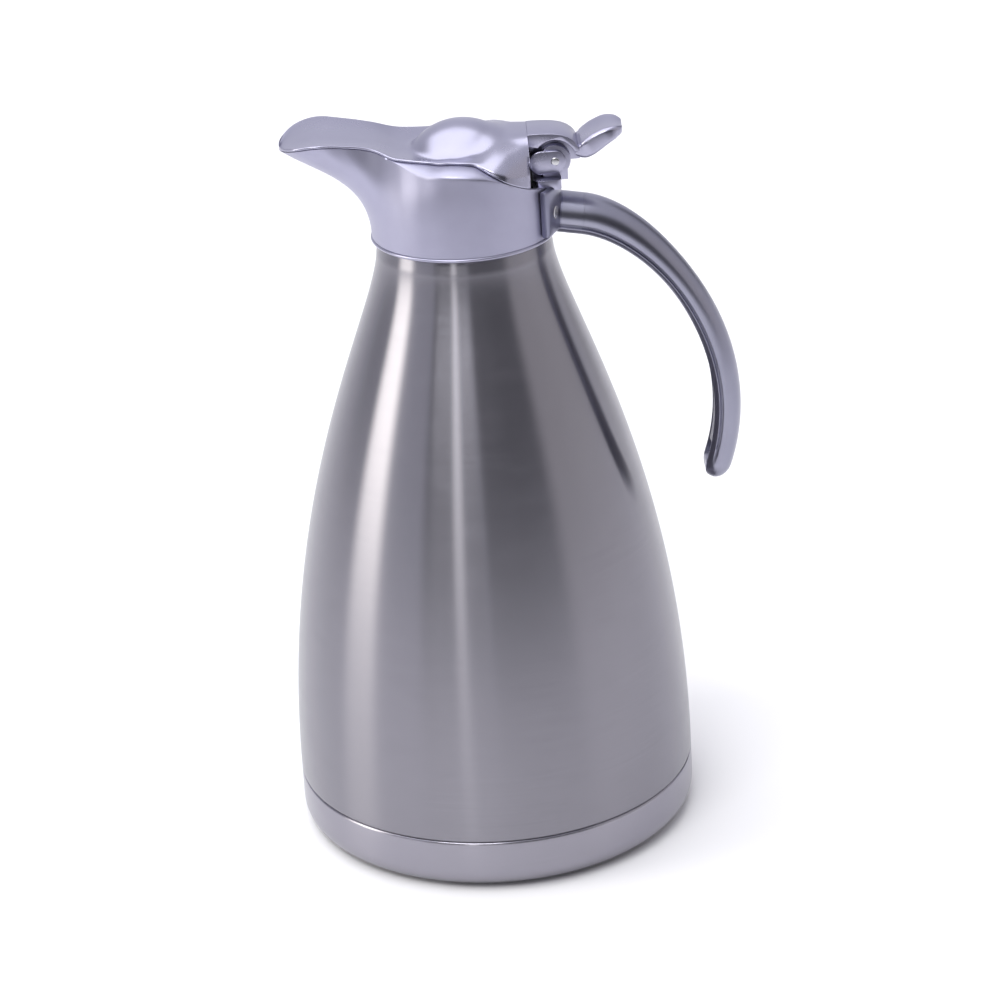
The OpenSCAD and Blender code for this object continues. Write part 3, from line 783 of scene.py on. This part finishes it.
deck_out = rounded([(25.8, -14), (35.8, -14), (35.8, 14), (25.8, 14)], 2.2, 5, skip_axis=False)
n = len(deck_out)
DECK_FOOT, DECK_TOP = 249.4, 252.9
deck = ([(x, y, DECK_FOOT) for x, y in deck_out] + [(x, y, DECK_TOP) for x, y in deck_out],
        [tuple(reversed(range(n))), tuple(range(n, 2 * n))]
        + [(i, (i + 1) % n, n + (i + 1) % n, n + i) for i in range(n)])
bracket = piece("hinge_bracket_cast", *joined(loft(saddle), loft(root), ears[0], ears[1], deck), "jug",
                "hinge_bracket", bevel=0.4)
bracket.data.materials.append(M["painted_shade_chrome"])
bracket.data.materials.append(M["handle_chrome"])
# the saddle's outer face takes the darker chrome as painted shade, and the handle's root takes the handle's
# finish, in metres here
for poly in bracket.data.polygons:
    from_axis = math.hypot(poly.center.x, poly.center.y)
    if 0.2334 < poly.center.z < 0.2505 and from_axis < 0.03605:
        poly.material_index = 1 if from_axis > 0.0331 else 0
    elif poly.center.z < 0.2462:
        poly.material_index = 2

# pin with turned ends, caps and bushes
plates = []
for s in (-1, 1):
    plate = arc(4.35, 90, 270, 20, -5.0, -0.4) + arc(4.1, -90, 90, 20, -0.2, -0.15)
    plates.append(slab(at_hinge(plate), 0.45, s * 9.05))
piece("pin_cap_plates", *joined(*plates), "jug", "pin_caps", bevel=0.35)
piece("hinge_pin_turned", *bar(1.6, -9.9, 9.9, edge=0.5), "jug", "hinge_pin", smooth_angle=40)
bushes = joined(tube(1.62, 2.55, -8.2, -4.9), tube(1.62, 2.55, 4.9, 8.2))
piece("hinge_bush_pair", *bushes, "jug", "hinge_bushes", smooth_angle=40)


def screw_head(r, h, along, at, slot_depth=0.5):
    """A domed screw head with a round recess sunk in its face, facing along."""
    prof = [(0, 0), (r, 0), (r, 0.35 * h)]
    for a in range(15, 76, 15):
        turn = math.radians(a)
        prof.append((r * math.cos(turn), 0.35 * h + 0.65 * h * math.sin(turn)))
    prof += [(0.34 * r, h), (0.24 * r, h - slot_depth), (0, h - slot_depth)]
    v, f = lathe(prof, 40)
    rot = Vector((0, 0, 1)).rotation_difference(Vector(along)).to_matrix().to_4x4()
    return moved((v, f), Matrix.Translation(Vector(at)) @ rot)


def shank(r, length, along, at):
    v, f = lathe(rounded([(0, -length), (r, -length), (r, 0.05), (0, 0.05)], [0, 0.3, 0, 0], 2), 24)
    rot = Vector((0, 0, 1)).rotation_difference(Vector(along)).to_matrix().to_4x4()
    return moved((v, f), Matrix.Translation(Vector(at)) @ rot)


heads = []
for a in (-22, 22):
    d = (math.cos(math.radians(a)), math.sin(math.radians(a)), 0)
    at = (35.75 * d[0], 35.75 * d[1], 241)
    heads += [screw_head(2.4, 0.5, d, at, 0.35), shank(1.4, 6.3, d, at)]
piece("bracket_screw_pair", *joined(*heads), "jug", "bracket_screws", smooth_angle=40)

# ---------------------------------------------------------------- stopper
stopper = rounded(
    [(0, 237), (18.8, 237), (22, 247.2), (22, 249), (24.8, 249), (24.8, 250.6), (12, 251.5), (12, 259.5),
     (0, 259.5)],
    [0, 1.6, 0.3, 0.2, 0.5, 0.5, 0.8, 0.3, 0], 4)
piece("stopper_moulding", *lathe(stopper, 128), "lid", "stopper_body", smooth_angle=35)
seal = [(22.05, 247.9), (25.2, 247.7), (25.5, 247.85), (25.6, 248.1), (25.5, 248.4), (25.2, 248.95),
        (22.05, 248.95)]
piece("stopper_seal_lip", *lathe(rounded(seal, 0.15, 3), 128), "lid", "stopper_seal", smooth_angle=50)

# ---------------------------------------------------------------- studio
floor_mat, fn = material("studio_floor")
fn.bsdf.inputs["Roughness"].default_value = 0.85
fn.bsdf.inputs["Specular IOR Level"].default_value = 0.2
split = fn.new("ShaderNodeSeparateXYZ")
fn.link(fn.coords(), split.inputs[0])
FLOOR_DARK, FLOOR_LIGHT = (0.20, 0.20, 0.22), (0.90, 0.90, 0.91)
fade = fn.span(split.outputs["Y"], 0.0, 1.0, -1.25, -0.72)
fn.link(fn.mix_colour(fade, FLOOR_DARK, FLOOR_LIGHT), fn.bsdf.inputs["Base Color"])
floor_mesh = bpy.data.meshes.new("studio_floor")
floor_mesh.from_pydata([(-9, -9, 0), (9, -9, 0), (9, 9, 0), (-9, 9, 0)], [], [(0, 1, 2, 3)])
floor = bpy.data.objects.new("studio_floor", floor_mesh)
floor.location.z = -0.0002
floor_mesh.materials.append(floor_mat)
scene.collection.objects.link(floor)

world = bpy.data.worlds.new("studio")
scene.world = world
world.use_nodes = True
wt = world.node_tree
bg = wt.nodes["Background"]


def wnode(kind, **settings):
    node = wt.nodes.new(kind)
    for k, v in settings.items():
        setattr(node, k, v)
    return node


geo = wnode("ShaderNodeTexCoord")
sep = wnode("ShaderNodeSeparateXYZ")
wt.links.new(geo.outputs["Generated"], sep.inputs[0])
neg = wnode("ShaderNodeMath", operation="MULTIPLY")
neg.inputs[1].default_value = -1
wt.links.new(sep.outputs["Y"], neg.inputs[0])
azim = wnode("ShaderNodeMath", operation="ARCTAN2")
wt.links.new(sep.outputs["X"], azim.inputs[0])
wt.links.new(neg.outputs[0], azim.inputs[1])
turns = wnode("ShaderNodeMath", operation="MULTIPLY_ADD")
turns.inputs[1].default_value = 1 / (2 * math.pi)
turns.inputs[2].default_value = 0.5
wt.links.new(azim.outputs[0], turns.inputs[0])
WALLS = [  # degrees from the front, brightness, tint
    (-180, 0.90, 0), (-135, 0.70, 0), (-112, 0.38, 0), (-97, 0.50, 0), (-90, 5.40, 1), (-76, 5.40, 1),
    (-69, 0.72, 0), (-44, 0.66, 0), (-38, 0.05, 0), (-21, 0.05, 0), (-18, 2.0, 2), (-15, 2.0, 2),
    (-12, 0.12, 0), (-2, 0.08, 0), (0, 0.34, 0), (3, 0.05, 0), (30, 0.04, 0), (48, 0.08, 0),
    (58, 0.70, 3), (100, 0.78, 3), (128, 0.7, 0), (134, 0.08, 0), (142, 0.08, 0), (150, 0.80, 0),
    (180, 0.90, 0),
]
TINT = [(0.95, 0.95, 1.06), (1.0, 0.97, 0.88), (1.0, 0.99, 0.95), (1.0, 0.96, 0.96)]
walls = wnode("ShaderNodeValToRGB")
wt.links.new(turns.outputs[0], walls.inputs["Fac"])
els = walls.color_ramp.elements
while len(els) > 1:
    els.remove(els[-1])
for i, (deg, val, tint) in enumerate(WALLS):
    e = els[0] if i == 0 else els.new(deg / 360 + 0.5)
    e.position = deg / 360 + 0.5
    e.color = (*(val * c for c in TINT[tint]), 1)
high = wnode("ShaderNodeMapRange", interpolation_type="SMOOTHSTEP")
high.inputs["From Min"].default_value = 0.50
high.inputs["From Max"].default_value = 0.74
wt.links.new(sep.outputs["Z"], high.inputs["Value"])
sky = wnode("ShaderNodeMix", data_type="RGBA")
wt.links.new(high.outputs["Result"], sky.inputs["Factor"])
wt.links.new(walls.outputs["Color"], sky.inputs["A"])
sky.inputs["B"].default_value = (0.80, 0.80, 0.86, 1)
wt.links.new(sky.outputs["Result"], bg.inputs["Color"])
bg.inputs["Strength"].default_value = 1.0


def softbox(name, location, target, size, power):
    data = bpy.data.lights.new(name, "AREA")
    data.shape = "RECTANGLE"
    data.size, data.size_y = size
    data.energy = power
    lamp = bpy.data.objects.new(name, data)
    lamp.location = location
    lamp.rotation_euler = (Vector(location) - Vector(target)).to_track_quat("Z", "Y").to_euler()
    scene.collection.objects.link(lamp)
    return lamp


softbox("top_soft", (-0.5, 0.3, 2.3), (0, 0.2, 0), (2.8, 2.8), 36)
softbox("front_soft", (-0.36, -0.92, 1.25), (0, 0, 0.2), (0.8, 0.5), 8)

scene.view_settings.view_transform = "Standard"
scene.view_settings.look = "None"
